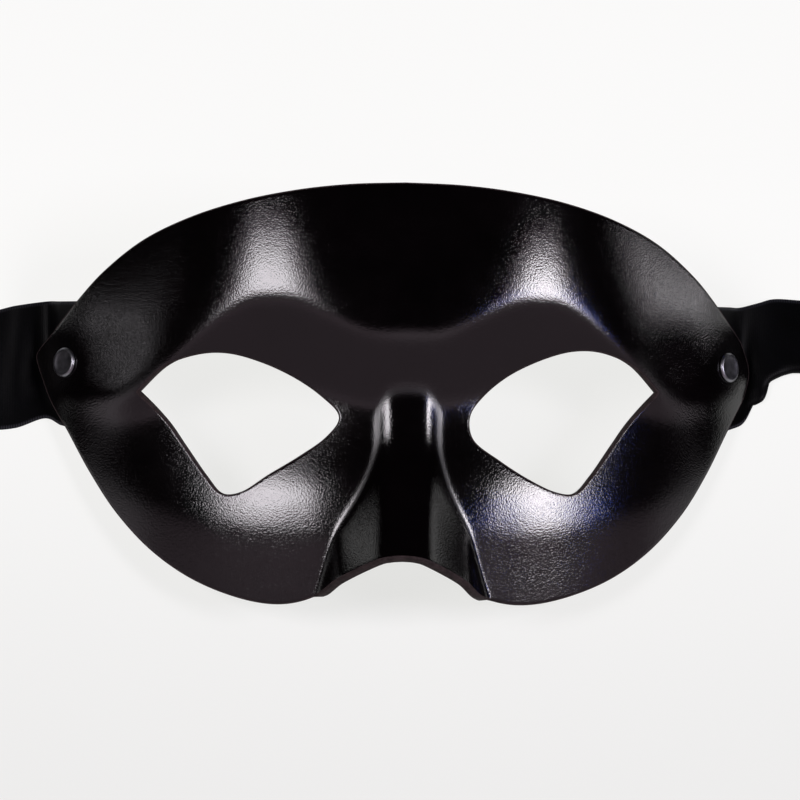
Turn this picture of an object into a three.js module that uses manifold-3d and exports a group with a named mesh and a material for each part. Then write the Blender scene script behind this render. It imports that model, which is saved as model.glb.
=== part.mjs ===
// Black leather eye mask, lying on its side edges with the wearer's side down.
// Millimetres, +Z up. +X is the viewer's right, +Y is the forehead side.
// The origin is on the table, under the middle of the whole object.

import * as THREE from 'three';
import { mergeVertices } from 'three/addons/utils/BufferGeometryUtils.js';
import Module from 'manifold-3d';

const wasm = await Module();
wasm.setup();

// Leather sheet and how it lies
const LEATHER = 1.8;
const REST_TILT = THREE.MathUtils.degToRad(25);
const FACE_LIFT = 33.55;
const FACE_SHIFT = -2.95;

// Sideways wrap around the face
const WRAP_RADIUS = 93;

// Brow crest: its height in the middle, its rise beside the nose and its fall to the temple
const BROW_MIDDLE = 13.2;
const BROW_RISE = 7.0;
const RISE_START = 4.5;
const RISE_WIDTH = 21;
const BROW_FALL = 20;
const FALL_START = 28.5;
const FALL_WIDTH = 32;
const BROW_EDGE = 2.2;

// Eye socket: slope and depth under the crest, and the oval that closes it below and sideways
const BROW_SLOPE = 0.3;
const SOCKET_DEPTH = 6;
const SOCKET_X = 20;
const SOCKET_Y = 6;
const SOCKET_WIDTH = 55;
const SOCKET_HEIGHT = 33;
const SOCKET_SLOPE = 0.18;
const SOCKET_TURN = 4;
const SOCKET_EDGE = 3;
const SOCKET_BLEND = 1.2;

// Forehead above the crest
const FOREHEAD_SLOPE = 0.09;
const FOREHEAD_BEND = 0.0034;
const FOREHEAD_EDGE = 2.5;

// Cheek crest, which is lower beside the nose and higher at the temple, and the fall below it
const CHEEK_CREST = -20.5;
const CREST_DROP = 3.5;
const DROP_END = 22;
const DROP_WIDTH = 8;
const CREST_LIFT = 1;
const LIFT_START = 50;
const LIFT_WIDTH = 16;
const CHEEK_SLOPE = 0.05;
const CHEEK_EDGE = 4;

// Shallow swellings and dents
const CHEEK_PAD = { x: 14, y: -17.7, width: 24, height: 8, rise: 0.7 };
const TEMPLE_DENTS = [
  { x: 57, y: 5, width: 8, height: 9, rise: -1.0 },
  { x: -60, y: 8.5, width: 7, height: 7, rise: -0.7 },
];

// Nose ridge, from its root down to the notch
const NOSE_ROOT = 2.8;
const NOSE_DEPTH = -3.2;
const NOSE_START = 0.07;
const NOSE_BEND = -10.5;
const NOSE_SLOPE = 0.72;
const BEND_EDGE = 4.5;
const ROOT_FALL = 0.5;
const ROOT_EDGE = 0.6;
const RIDGE_TOP = 4.2;
const RIDGE_BOTTOM = 4.0;
const RIDGE_OFFSET = 0.6;
const RIDGE_EDGE = 1.4;
const CREASE_EDGE = 0.5;
const NOTCH = -31;

// Flanks of the nose, with a steeper part that widens downwards, and the wings they end in
const FLANK_SLOPE = 0.7;
const LEAF_SLOPE = 1.28;
const LEAF_START = -12.5;
const LEAF_SPREAD = 1.5;
const LEAF_EDGE = 2.5;
const WING = 9.6;
const WING_SLOPE = 1.8;
const WING_EDGE = 1;

// The hand-formed middle leans to one side, more so towards the notch
const LEAN_EYES = 0.5;
const LEAN_NOTCH = 1.4;
const LEAN_START = -5;
const LEAN_REACH = 28;
const LEAN_WIDTH = 42;

// Outline of one half, from the middle of the top edge to the middle of the notch
const TOP_EDGE = [
  [0, 43.9], [11, 43.5], [22, 42.25], [33, 40.1], [43.5, 36.9], [53, 32.4], [61, 26.1], [67, 19.4],
  [72.2, 12.6],
];
const LEFT_TIP = [[72.2, 12.6], [74.9, 9.0], [74.4, 5.9]];
const RIGHT_TIP = [[72.2, 12.6], [74.2, 6.6], [72.9, 1.0]];
const LOWER_EDGE = [
  [71.9, -0.8], [68.3, -7], [63.7, -15.2], [58.1, -23.4], [50.8, -30.9], [42.1, -36.6], [32.2, -40.2],
  [23.8, -41.2], [16.8, -39.5], [12.4, -35.8], [5.6, -32.1], [2.6, -31.2], [0, NOTCH],
];

// Eye hole of each half, once round from its sharp outer corner
const LEFT_EYE = [
  [53.9, 1.2], [48.6, 6.3], [42, 8.7], [35.8, 9], [29.2, 7.3], [22.5, 4.3], [16.8, 0.5], [13.3, -3.4],
  [15.9, -7.5], [21.4, -11.5], [27.2, -15.1], [32.5, -18.6], [36.7, -18.9], [40.1, -15.3],
  [44.5, -9.3], [48.2, -4.3], [53.9, 1.2],
];
const RIGHT_EYE = [
  [52.5, 1.7], [47.2, 6.8], [40.6, 9.6], [34.3, 9.9], [27.8, 8.1], [21.2, 4.9], [16.1, 0.8],
  [13.3, -3.3], [14.1, -8], [19.4, -12], [25.2, -15.6], [31, -18.3], [35.2, -18.5], [38.6, -14.9],
  [43, -8.8], [46.8, -3.9], [52.5, 1.7],
];
const EYE_CENTRE = new THREE.Vector2(32, -4.5);

// Mesh steps of one half: around the eye hole, and from it to the outline
const STEPS_AROUND = 64;
const STEPS_ACROSS = 9;

// Rivets
const RIVET = { x: 68.8, y: 7.2, radius: 3.0, dome: 0.8, rim: 0.3, shank: 1.0, back: 1.0, bevel: 0.3 };
const HOLE_LENGTH = 16;
const GAP = 0.3;

// Ribbon ties
const RIBBON_WIDTH = 26.5;
const RIBBON = 0.6;
const RIBBON_MIDDLE = 7.0;
const HELD_GAP = 0.4;
const HELD_EDGE = 0.3;
const ROLL_RADIUS = 12;
const ROLL_HOLE = 5;
const ROLL_X = 127;
const RIBBON_STEPS = 30;
const RIBBON_COLUMNS = 8;

// Smooth versions of max(t, 0), max, min and a step from 0 to 1
const ramp = (t, soft) => 0.5 * (t + Math.sqrt(t * t + soft * soft));
const softMax = (a, b, soft) => 0.5 * (a + b + Math.sqrt((a - b) ** 2 + soft * soft));
const softMin = (a, b, soft) => -softMax(-a, -b, soft);
const step = (t) => THREE.MathUtils.smoothstep(t, 0, 1);

function browCrest(x) {
  const rise = BROW_RISE * step((x - RISE_START) / RISE_WIDTH);
  return BROW_MIDDLE + rise - BROW_FALL * step((x - FALL_START) / FALL_WIDTH);
}

function socketRecess(x, y) {
  const below = BROW_SLOPE * ramp(browCrest(x) - y, BROW_EDGE);
  const across = ramp(x - SOCKET_X, SOCKET_TURN) / SOCKET_WIDTH;
  const down = ramp(SOCKET_Y - y, SOCKET_TURN) / SOCKET_HEIGHT;
  const inside = SOCKET_HEIGHT * (1 - Math.hypot(across, down));
  const closing = SOCKET_SLOPE * ramp(inside, SOCKET_EDGE);
  return softMin(softMin(below, SOCKET_DEPTH, SOCKET_BLEND), closing, SOCKET_BLEND);
}

function foreheadRecess(x, y) {
  const above = ramp(y - browCrest(x), FOREHEAD_EDGE);
  return FOREHEAD_SLOPE * above + FOREHEAD_BEND * above * above;
}

function cheekRecess(x, y) {
  const drop = CREST_DROP * step((DROP_END - x) / DROP_WIDTH);
  const crest = CHEEK_CREST - drop + CREST_LIFT * step((x - LIFT_START) / LIFT_WIDTH);
  return CHEEK_SLOPE * ramp(crest - y, CHEEK_EDGE);
}

function swelling(x, y, place) {
  const across = (x - place.x) / place.width;
  const up = (y - place.y) / place.height;
  return place.rise * Math.exp(-across * across - up * up);
}

function noseHeight(x, y) {
  const toRoot = NOSE_START * ramp(NOSE_ROOT - y, ROOT_EDGE) - ROOT_FALL * ramp(y - NOSE_ROOT, ROOT_EDGE);
  const ridge = NOSE_DEPTH + toRoot + NOSE_SLOPE * ramp(NOSE_BEND - y, BEND_EDGE);
  const down = THREE.MathUtils.clamp((NOSE_ROOT - y) / (NOSE_ROOT - NOTCH), 0, 1);
  const halfWidth = THREE.MathUtils.lerp(RIDGE_TOP, RIDGE_BOTTOM, down);
  const aside = ramp(Math.abs(x - RIDGE_OFFSET) - halfWidth, RIDGE_EDGE);
  const leaf = (LEAF_START - y) / LEAF_SPREAD;
  const inLeaf = ramp(leaf, LEAF_EDGE) - ramp(leaf - aside, LEAF_EDGE);
  const fall = FLANK_SLOPE * aside + (LEAF_SLOPE - FLANK_SLOPE) * inLeaf;
  return ridge - fall - WING_SLOPE * ramp(aside - WING, WING_EDGE);
}

// Height of the outer surface over the face plane, in the mask's own frame
function formedHeight(x, y) {
  const side = Math.hypot(x, 0.5);
  const wrap = Math.sqrt(WRAP_RADIUS ** 2 - side * side) - WRAP_RADIUS;
  const recess = socketRecess(side, y) + foreheadRecess(side, y) + cheekRecess(side, y);
  const dents = TEMPLE_DENTS.reduce((sum, dent) => sum + swelling(x, y, dent), 0);
  return softMax(wrap - recess + swelling(side, y, CHEEK_PAD) + dents, noseHeight(x, y), CREASE_EDGE);
}

function formedNormal(x, y) {
  const d = 0.05;
  const slopeX = (formedHeight(x + d, y) - formedHeight(x - d, y)) / (2 * d);
  const slopeY = (formedHeight(x, y + d) - formedHeight(x, y - d)) / (2 * d);
  return new THREE.Vector3(-slopeX, -slopeY, 1).normalize();
}

// Point at a depth behind the outer surface, in the mask's own frame
function formedPoint(x, y, depth) {
  const middle = Math.exp(-((x / LEAN_WIDTH) ** 2));
  const lean = middle * (LEAN_EYES + LEAN_NOTCH * step((LEAN_START - y) / LEAN_REACH));
  const point = new THREE.Vector3(x - lean, y, formedHeight(x, y));
  return point.addScaledVector(formedNormal(x, y), -depth);
}

const toVectors = (pairs) => pairs.map(([x, y]) => new THREE.Vector2(x, y));
const spline = (pairs) => new THREE.SplineCurve(toVectors(pairs));

// Where the ray from the eye centre through a point meets a polyline
function rayHit(polyline, toward) {
  const direction = toward.clone().sub(EYE_CENTRE).normalize();
  let far = 0;
  for (let i = 1; i < polyline.length; i++) {
    const from = polyline[i - 1].clone().sub(EYE_CENTRE);
    const edge = polyline[i].clone().sub(polyline[i - 1]);
    const cross = direction.cross(edge);
    const along = from.cross(edge) / cross;
    const share = from.cross(direction) / cross;
    if (share >= -1e-9 && share <= 1 + 1e-9 && along > far) far = along;
  }
  return EYE_CENTRE.clone().addScaledVector(direction, far);
}

// Outer loop of one half in equal steps, with a point on each corner
function outerLoop(tip, eye) {
  const lower = spline([tip[2], ...LOWER_EDGE]);
  const edge = [
    ...spline(TOP_EDGE).getPoints(160).slice(0, -1),
    ...spline(tip).getPoints(16).slice(0, -1),
    ...lower.getPoints(200),
  ];
  const cornerAt = rayHit(edge, new THREE.Vector2(...eye[0]));
  const split = edge.findIndex((point) => point.x > RIVET.x && point.y < cornerAt.y);
  const sections = [
    [edge.at(-1), edge[0]],
    [...edge.slice(0, split), cornerAt],
    [cornerAt, ...edge.slice(split)],
  ];
  const lengths = sections.map((points) => polylineLength(points));
  const total = lengths.reduce((sum, length) => sum + length, 0);
  const counts = lengths.map((length) => Math.round((STEPS_AROUND * length) / total));
  return {
    points: sections.flatMap((points, i) => evenPoints(points, counts[i])),
    middleCount: counts[0],
  };
}

function polylineLength(points) {
  return points.slice(1).reduce((sum, point, i) => sum + point.distanceTo(points[i]), 0);
}

// Points in equal steps along a polyline, without its last point
function evenPoints(points, count) {
  const stepLength = polylineLength(points) / count;
  const result = [points[0]];
  let walked = 0;
  for (let i = 1; i < points.length; i++) {
    const length = points[i].distanceTo(points[i - 1]);
    while (result.length < count && walked + length >= result.length * stepLength) {
      const share = (result.length * stepLength - walked) / length;
      result.push(points[i - 1].clone().lerp(points[i], share));
    }
    walked += length;
  }
  return result;
}

// Triangles of one half of the leather. side is -1 for the left and 1 for the right.
function leatherHalf(side, tip, eye) {
  const { points, middleCount } = outerLoop(tip, eye);
  const eyeHole = spline(eye).getPoints(400);
  const grid = points.map((outer) => {
    const inner = rayHit(eyeHole, outer);
    return Array.from({ length: STEPS_ACROSS + 1 }, (_, k) => {
      const flat = inner.clone().lerp(outer, k / STEPS_ACROSS);
      return [formedPoint(side * flat.x, flat.y, 0), formedPoint(side * flat.x, flat.y, LEATHER)];
    });
  });
  const triangles = [];
  const quad = (a, b, c, d) => triangles.push(...(side < 0 ? [a, b, c, a, c, d] : [a, c, b, a, d, c]));
  const count = grid.length;
  for (let i = 0; i < count; i++) {
    const here = grid[i];
    const next = grid[(i + 1) % count];
    for (let k = 0; k < STEPS_ACROSS; k++) {
      quad(here[k][0], here[k + 1][0], next[k + 1][0], next[k][0]);
      quad(here[k][1], next[k][1], next[k + 1][1], here[k + 1][1]);
    }
    quad(here[0][0], next[0][0], next[0][1], here[0][1]);
    const last = STEPS_ACROSS;
    if (i >= middleCount) quad(here[last][0], here[last][1], next[last][1], next[last][0]);
  }
  return triangles;
}

function triangleGeometry(points) {
  const geometry = new THREE.BufferGeometry().setFromPoints(points);
  const merged = mergeVertices(geometry, 1e-4);
  merged.computeVertexNormals();
  return merged;
}

function toManifold(geometry) {
  const bare = geometry.clone();
  bare.deleteAttribute('normal');
  bare.deleteAttribute('uv');
  const merged = mergeVertices(bare, 1e-4);
  const vertProperties = new Float32Array(merged.attributes.position.array);
  const triVerts = new Uint32Array(merged.index.array);
  return new wasm.Manifold(new wasm.Mesh({ numProp: 3, vertProperties, triVerts }));
}

function fromManifold(solid) {
  const mesh = solid.getMesh();
  const geometry = new THREE.BufferGeometry();
  geometry.setAttribute('position', new THREE.BufferAttribute(mesh.vertProperties, 3));
  geometry.setIndex(new THREE.BufferAttribute(mesh.triVerts, 1));
  geometry.computeVertexNormals();
  return geometry;
}

// Turn and place that put local +Z along the leather's outward normal at a rivet
function rivetMatrix(side) {
  const centre = formedPoint(side * RIVET.x, RIVET.y, 0);
  const normal = formedNormal(side * RIVET.x, RIVET.y);
  const turn = new THREE.Quaternion().setFromUnitVectors(new THREE.Vector3(0, 0, 1), normal);
  return new THREE.Matrix4().compose(centre, turn, new THREE.Vector3(1, 1, 1));
}

function rivetHole(side) {
  const cutter = new THREE.CylinderGeometry(RIVET.shank + GAP, RIVET.shank + GAP, HOLE_LENGTH, 20);
  cutter.rotateX(Math.PI / 2);
  cutter.applyMatrix4(rivetMatrix(side));
  return toManifold(cutter);
}

// Cap with a domed top, shank and flat back cap, turned about local +Z
function rivetGeometry() {
  const { radius, dome, rim, shank, back, bevel } = RIVET;
  const backTop = -(LEATHER + RIBBON + 3 * GAP);
  const bottom = backTop - back;
  const profile = [[0, bottom], [radius - bevel, bottom], [radius, bottom + bevel]];
  profile.push([radius, backTop], [shank, backTop], [shank, GAP], [radius, GAP], [radius, GAP + rim]);
  for (const degrees of [25, 50, 70]) {
    const angle = THREE.MathUtils.degToRad(degrees);
    profile.push([radius * Math.cos(angle), GAP + rim + (dome - rim) * Math.sin(angle)]);
  }
  profile.push([0, GAP + dome]);
  const lathe = new THREE.LatheGeometry(toVectors(profile), 24);
  return lathe.rotateX(Math.PI / 2);
}

const faceMatrix = new THREE.Matrix4()
  .makeTranslation(0, FACE_SHIFT, FACE_LIFT)
  .multiply(new THREE.Matrix4().makeRotationX(REST_TILT));

// Stations of each ribbon past the leather, on the table frame: x, y of the ribbon's middle, angle
// of its width over the table in degrees, and the width and bend radius of the strip folded under.
const LEFT_RUN = [
  [79, 21.6, 8, 0, 0], [86, 21.2, 2, 0, 0], [96, 21.3, 14, 0, 0], [107, 21.7, 46, 0, 0],
  [117, 22, 76, 0, 0], [ROLL_X, 22, 90, 0, 0],
];
const RIGHT_RUN = [
  [76.5, 26.5, 5, 4.5, 0.5], [80, 29.8, 1, 8.4, 0.9], [86, 30.2, 1, 9.8, 1.0], [96, 27.5, 14, 8, 1.1],
  [107, 24.5, 46, 4, 0.8], [117, 22.5, 76, 1, 0.3], [ROLL_X, 22, 90, 0, 0],
];
const HELD_STATIONS = [60, 64, 68, 71.5, 74.5];

// Section of a ribbon whose lower strip is folded under, as [along the width, height] at a share of
// the width counted from the folded edge
function foldedSection(share, fold, radius) {
  const fromCrease = share * RIBBON_WIDTH - fold;
  const quarter = (Math.PI * radius) / 2;
  if (fromCrease >= quarter) return [fromCrease - quarter, 2 * radius];
  if (fromCrease <= -quarter) return [-fromCrease - quarter, 0];
  const angle = fromCrease / radius;
  return [-radius * Math.cos(angle), radius + radius * Math.sin(angle)];
}

// One row of points across the ribbon, its lowest point on the table
function freeRow(side, shares, [x, middle, degrees, fold, radius]) {
  const angle = THREE.MathUtils.degToRad(degrees);
  const section = shares.map((share) => foldedSection(share, fold, radius));
  const centre = (section.at(-1)[0] + Math.min(...section.map(([across]) => across))) / 2;
  const row = section.map(([across, up]) => new THREE.Vector3(
    side * x,
    middle + FACE_SHIFT + (across - centre) * Math.cos(angle) - up * Math.sin(angle),
    (across - centre) * Math.sin(angle) + up * Math.cos(angle),
  ));
  const drop = Math.min(...row.map((point) => point.z)) - RIBBON / 2;
  row.forEach((point) => { point.z -= drop; });
  return row;
}

// One row of points under the leather, kept off the table
function heldRow(side, shares, x) {
  return shares.map((share) => {
    const y = RIBBON_MIDDLE + (share - 0.5) * RIBBON_WIDTH;
    const point = formedPoint(side * x, y, LEATHER + HELD_GAP + RIBBON / 2).applyMatrix4(faceMatrix);
    point.z = softMax(point.z, RIBBON / 2, HELD_EDGE);
    return point;
  });
}

// Rows of points across one ribbon's middle surface, on the table frame
function ribbonRows(side, run) {
  const shares = Array.from({ length: RIBBON_COLUMNS + 1 }, (_, c) => c / RIBBON_COLUMNS);
  const stations = [
    ...HELD_STATIONS.map((x) => heldRow(side, shares, x)),
    ...run.map((station) => freeRow(side, shares, station)),
  ];
  const curves = shares.map((_, c) => new THREE.CatmullRomCurve3(stations.map((row) => row[c])));
  return Array.from({ length: RIBBON_STEPS + 1 }, (_, i) => curves.map((curve) => {
    const point = curve.getPoint(i / RIBBON_STEPS);
    point.z = Math.max(point.z, RIBBON / 2);
    return point;
  }));
}

// Closed strip of the ribbon's thickness around its middle surface
function stripTriangles(rows, side) {
  const last = rows[0].length - 1;
  const end = rows.length - 1;
  const normalAt = (i, c) => {
    const along = rows[Math.min(i + 1, end)][c].clone().sub(rows[Math.max(i - 1, 0)][c]);
    const across = rows[i][Math.min(c + 1, last)].clone().sub(rows[i][Math.max(c - 1, 0)]);
    return along.cross(across).normalize();
  };
  const offset = (sign) => rows.map((row, i) => row.map((point, c) => (
    point.clone().addScaledVector(normalAt(i, c), (sign * side * RIBBON) / 2))));
  const upper = offset(1);
  const lower = offset(-1);
  const triangles = [];
  const quad = (a, b, c, d) => triangles.push(...(side > 0 ? [a, b, c, a, c, d] : [a, c, b, a, d, c]));
  for (let i = 0; i < end; i++) {
    for (let c = 0; c < last; c++) {
      quad(upper[i][c], upper[i + 1][c], upper[i + 1][c + 1], upper[i][c + 1]);
      quad(lower[i][c], lower[i][c + 1], lower[i + 1][c + 1], lower[i + 1][c]);
    }
    quad(upper[i][0], lower[i][0], lower[i + 1][0], upper[i + 1][0]);
    quad(upper[i][last], upper[i + 1][last], lower[i + 1][last], lower[i][last]);
  }
  for (let c = 0; c < last; c++) {
    quad(upper[0][c], upper[0][c + 1], lower[0][c + 1], lower[0][c]);
    quad(upper[end][c], lower[end][c], lower[end][c + 1], upper[end][c + 1]);
  }
  return triangles;
}

// The rest of the ribbon, wound up and lying on its side
function rollGeometry(side, tangentY) {
  const profile = [
    [ROLL_HOLE, 0], [ROLL_RADIUS, 0], [ROLL_RADIUS, RIBBON_WIDTH], [ROLL_HOLE, RIBBON_WIDTH],
    [ROLL_HOLE, 0],
  ];
  const ring = new THREE.LatheGeometry(toVectors(profile), 36).rotateX(Math.PI / 2);
  return ring.translate(side * ROLL_X, tangentY - ROLL_RADIUS + RIBBON / 2, 0);
}

function ribbonGeometry(side, run) {
  const strip = toManifold(triangleGeometry(stripTriangles(ribbonRows(side, run), side)));
  const roll = toManifold(rollGeometry(side, run.at(-1)[1] + FACE_SHIFT));
  const hole = rivetHole(side).transform(faceMatrix.elements);
  return fromManifold(strip.add(roll).subtract(hole));
}

const leatherMaterial = new THREE.MeshStandardMaterial({ color: 0x0d0b0c, roughness: 0.25, metalness: 0 });
const ribbonMaterial = new THREE.MeshStandardMaterial({ color: 0x0a0a0d, roughness: 0.6, metalness: 0 });
const rivetMaterial = new THREE.MeshStandardMaterial({ color: 0x2c2d30, roughness: 0.35, metalness: 0.9 });

const sides = [
  { name: 'left', side: -1, tip: LEFT_TIP, eye: LEFT_EYE, run: LEFT_RUN },
  { name: 'right', side: 1, tip: RIGHT_TIP, eye: RIGHT_EYE, run: RIGHT_RUN },
];

function leatherMesh() {
  const triangles = sides.flatMap(({ side, tip, eye }) => leatherHalf(side, tip, eye));
  const whole = toManifold(triangleGeometry(triangles));
  const cut = sides.reduce((solid, { side }) => solid.subtract(rivetHole(side)), whole);
  const mesh = new THREE.Mesh(fromManifold(cut), leatherMaterial);
  mesh.name = 'leather_mask';
  return mesh;
}

const mask = new THREE.Group();
const tilted = new THREE.Group();
tilted.rotation.x = REST_TILT;
tilted.position.set(0, FACE_SHIFT, FACE_LIFT);
tilted.add(leatherMesh());
for (const { name, side, run } of sides) {
  const rivet = new THREE.Mesh(rivetGeometry(), rivetMaterial);
  rivet.name = `rivet_${name}`;
  rivetMatrix(side).decompose(rivet.position, rivet.quaternion, rivet.scale);
  tilted.add(rivet);
  const ribbon = new THREE.Mesh(ribbonGeometry(side, run), ribbonMaterial);
  ribbon.name = `ribbon_${name}`;
  mask.add(ribbon);
}
mask.add(tilted);

export default mask;
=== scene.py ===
# Black leather eye mask lying on a pale table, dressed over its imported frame.
# Lengths here are millimetres, and they go into Blender as metres. The mask's own frame is the one
# its outline is drawn in. The table frame is that frame tilted back and lifted off the table.
import math

import bmesh
import bpy
import numpy as np
from mathutils import Matrix, Vector


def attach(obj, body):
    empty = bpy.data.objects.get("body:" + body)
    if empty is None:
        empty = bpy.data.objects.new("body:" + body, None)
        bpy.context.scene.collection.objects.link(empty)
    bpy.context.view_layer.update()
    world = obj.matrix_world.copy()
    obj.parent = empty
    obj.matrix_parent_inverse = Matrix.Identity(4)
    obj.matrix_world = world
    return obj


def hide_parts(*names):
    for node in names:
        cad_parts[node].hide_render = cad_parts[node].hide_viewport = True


MM = 0.001

# Leather sheet and how it lies
LEATHER = 1.8
REST_TILT = math.radians(25)
FACE_LIFT = 33.55
FACE_SHIFT = -2.95
CUT_RADIUS = 0.35

# Sideways wrap around the face, and how softly the two halves meet
WRAP_RADIUS = 93
MIDDLE_EDGE = 0.5

# Brow crest: its height in the middle, its rise beside the nose and its fall to the temple
BROW_MIDDLE = 13.2
BROW_RISE = 7.0
RISE_START = 4.5
RISE_WIDTH = 21
BROW_FALL = 20
FALL_START = 28.5
FALL_WIDTH = 32
BROW_EDGE = 2.2

# Eye socket: slope and depth under the crest, and the oval that closes it below and sideways
BROW_SLOPE = 0.3
SOCKET_DEPTH = 6
SOCKET_X = 20
SOCKET_Y = 6
SOCKET_WIDTH = 55
SOCKET_HEIGHT = 33
SOCKET_SLOPE = 0.18
SOCKET_TURN = 4
SOCKET_EDGE = 3
SOCKET_BLEND = 1.2

# Forehead above the crest
FOREHEAD_SLOPE = 0.09
FOREHEAD_BEND = 0.0034
FOREHEAD_EDGE = 2.5

# Cheek crest, which is lower beside the nose and higher at the temple, and the fall below it
CHEEK_CREST = -20.5
CREST_DROP = 3.5
DROP_END = 22
DROP_WIDTH = 8
CREST_LIFT = 1
LIFT_START = 50
LIFT_WIDTH = 16
CHEEK_SLOPE = 0.05
CHEEK_EDGE = 4

# Shallow swellings and dents: middle, half width, half height, rise
CHEEK_PAD = (14, -17.7, 24, 8, 0.7)
TEMPLE_DENTS = [(57, 5, 8, 9, -1.0), (-60, 8.5, 7, 7, -0.7)]

# Nose ridge, from its root down to the notch
NOSE_ROOT = 2.8
NOSE_DEPTH = -3.2
NOSE_START = 0.07
NOSE_BEND = -10.5
NOSE_SLOPE = 0.72
BEND_EDGE = 4.5
ROOT_FALL = 0.5
ROOT_EDGE = 0.6
RIDGE_TOP = 4.2
RIDGE_BOTTOM = 4.0
RIDGE_OFFSET = 0.6
RIDGE_EDGE = 1.4
NOTCH = -31

# Crease between the nose and the face, and the dull line it leaves
CREASE_EDGE = 0.5
CREASE_WIDTH = 0.4

# Flanks of the nose, with a steeper part that widens downwards, and the wings they end in
FLANK_SLOPE = 0.7
LEAF_SLOPE = 1.28
LEAF_START = -12.5
LEAF_SPREAD = 1.5
LEAF_EDGE = 2.5
WING = 9.6
WING_SLOPE = 1.8
WING_EDGE = 1

# The hand-formed middle leans to one side, more so towards the notch
LEAN_EYES = 0.5
LEAN_NOTCH = 1.4
LEAN_START = -5
LEAN_REACH = 28
LEAN_WIDTH = 42

# Outline of one half, from the middle of the top edge to the middle of the notch
TOP_EDGE = [
    (0, 43.9), (11, 43.5), (22, 42.25), (33, 40.1), (43.5, 36.9), (53, 32.4), (61, 26.1), (67, 19.4),
    (72.2, 12.6),
]
LEFT_TIP = [(72.2, 12.6), (74.9, 9.0), (74.4, 5.9)]
RIGHT_TIP = [(72.2, 12.6), (74.2, 6.6), (72.9, 1.0)]
LOWER_EDGE = [
    (71.9, -0.8), (68.3, -7), (63.7, -15.2), (58.1, -23.4), (50.8, -30.9), (42.1, -36.6), (32.2, -40.2),
    (23.8, -41.2), (16.8, -39.5), (12.4, -35.8), (5.6, -32.1), (2.6, -31.2), (0, NOTCH),
]

# Eye hole of each half, once round from its sharp outer corner
LEFT_EYE = [
    (53.9, 1.2), (48.6, 6.3), (42, 8.7), (35.8, 9), (29.2, 7.3), (22.5, 4.3), (16.8, 0.5),
    (13.3, -3.4), (15.9, -7.5), (21.4, -11.5), (27.2, -15.1), (32.5, -18.6), (36.7, -18.9),
    (40.1, -15.3), (44.5, -9.3), (48.2, -4.3), (53.9, 1.2),
]
RIGHT_EYE = [
    (52.5, 1.7), (47.2, 6.8), (40.6, 9.6), (34.3, 9.9), (27.8, 8.1), (21.2, 4.9), (16.1, 0.8),
    (13.3, -3.3), (14.1, -8), (19.4, -12), (25.2, -15.6), (31, -18.3), (35.2, -18.5), (38.6, -14.9),
    (43, -8.8), (46.8, -3.9), (52.5, 1.7),
]

# Where the rays of one half start. They run through its eye hole's edge to its outline.
EYE_CENTRE = np.array([32.0, -4.5])

# Steps along the splines through the points above
TOP_STEPS = 600
TIP_STEPS = 60
LOWER_STEPS = 800
EYE_STEPS = 1600

# Mesh steps of one half: around the eye hole, from it to the outline, and round a cut edge
STEPS_AROUND = 340
STEPS_ACROSS = 54
STEPS_ROUND = 3

# Material numbers of the leather, and the layer that marks its crease
GRAIN_SIDE, CUT_EDGE, FLESH_SIDE = 0, 1, 2
CREASE_LAYER = "crease"

# Rivets: place, radius of the shank and of the back cap, and the air around them
RIVET_X = 68.8
RIVET_Y = 7.2
SHANK_RADIUS = 1.0
RIVET_RADIUS = 3.0
RIVET_STEPS = 64
GAP = 0.3

# Sections of a rivet as (radius, height): the flat back cap from below, and the dished front cap
# with its rolled rim, from the shank to the middle of its top
BACK_SECTION = [(0, 0), (2.5, 0), (2.8, 0.1), (RIVET_RADIUS, 0.4), (RIVET_RADIUS, 0.8), (2.8, 1.0)]
FRONT_SECTION = [
    (2.7, -0.05), (2.95, 0.02), (3.08, 0.18), (3.05, 0.38), (2.93, 0.55), (2.74, 0.68), (2.52, 0.73),
    (2.3, 0.7), (2.05, 0.63), (1.7, 0.56), (1.2, 0.53), (0.6, 0.52), (0, 0.52),
]

# Ribbon ties: width, thickness of the solid and of the cloth, and the selvedge's place from the edge
RIBBON_WIDTH = 26.5
RIBBON = 0.6
CLOTH = 0.4
SELVEDGE = (0.3, 0.9)
CLOTH_LAYER = "cloth"

# Ribbon under the leather: its middle and stations in the mask's own frame, its air to the leather,
# and how softly it meets the table
RIBBON_MIDDLE = 7.0
HELD_STATIONS = [60, 64, 68, 71.5, 74.5]
HELD_GAP = 0.4
HELD_EDGE = 0.3

# Roll that each ribbon ends in, and the steps along and across a ribbon
ROLL_RADIUS = 12
ROLL_X = 127
ROLL_PITCH = 0.75
ROLL_TURNS = 9.2
RIBBON_STEPS = 150
RIBBON_COLUMNS = 40
ROLL_STEP_DEGREES = 7.5

# Stations of each ribbon past the leather, on the table frame: x, y of the ribbon's middle, angle
# of its width over the table in degrees, and the width and bend radius of the strip folded under
LEFT_RUN = [
    (79, 21.6, 8, 0, 0), (86, 21.2, 2, 0, 0), (96, 21.3, 14, 0, 0), (107, 21.7, 46, 0, 0),
    (117, 22, 76, 0, 0), (ROLL_X, 22, 90, 0, 0),
]
RIGHT_RUN = [
    (76.5, 26.5, 5, 4.5, 0.5), (80, 29.8, 1, 8.4, 0.9), (86, 30.2, 1, 9.8, 1.0),
    (96, 27.5, 14, 8, 1.1), (107, 24.5, 46, 4, 0.8), (117, 22.5, 76, 1, 0.3), (ROLL_X, 22, 90, 0, 0),
]

# Step for a slope, slack of a ray's hit, and the least values that are divided by
NORMAL_STEP = 0.05
HIT_SLACK = 1e-9
LEAST_CROSS = 1e-12
LEAST_RADIUS = 1e-6
LEAST_STEP = 1e-4

# Points of a piece that are nearer than this are joined, in metres
WELD_DISTANCE = 1e-7

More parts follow.
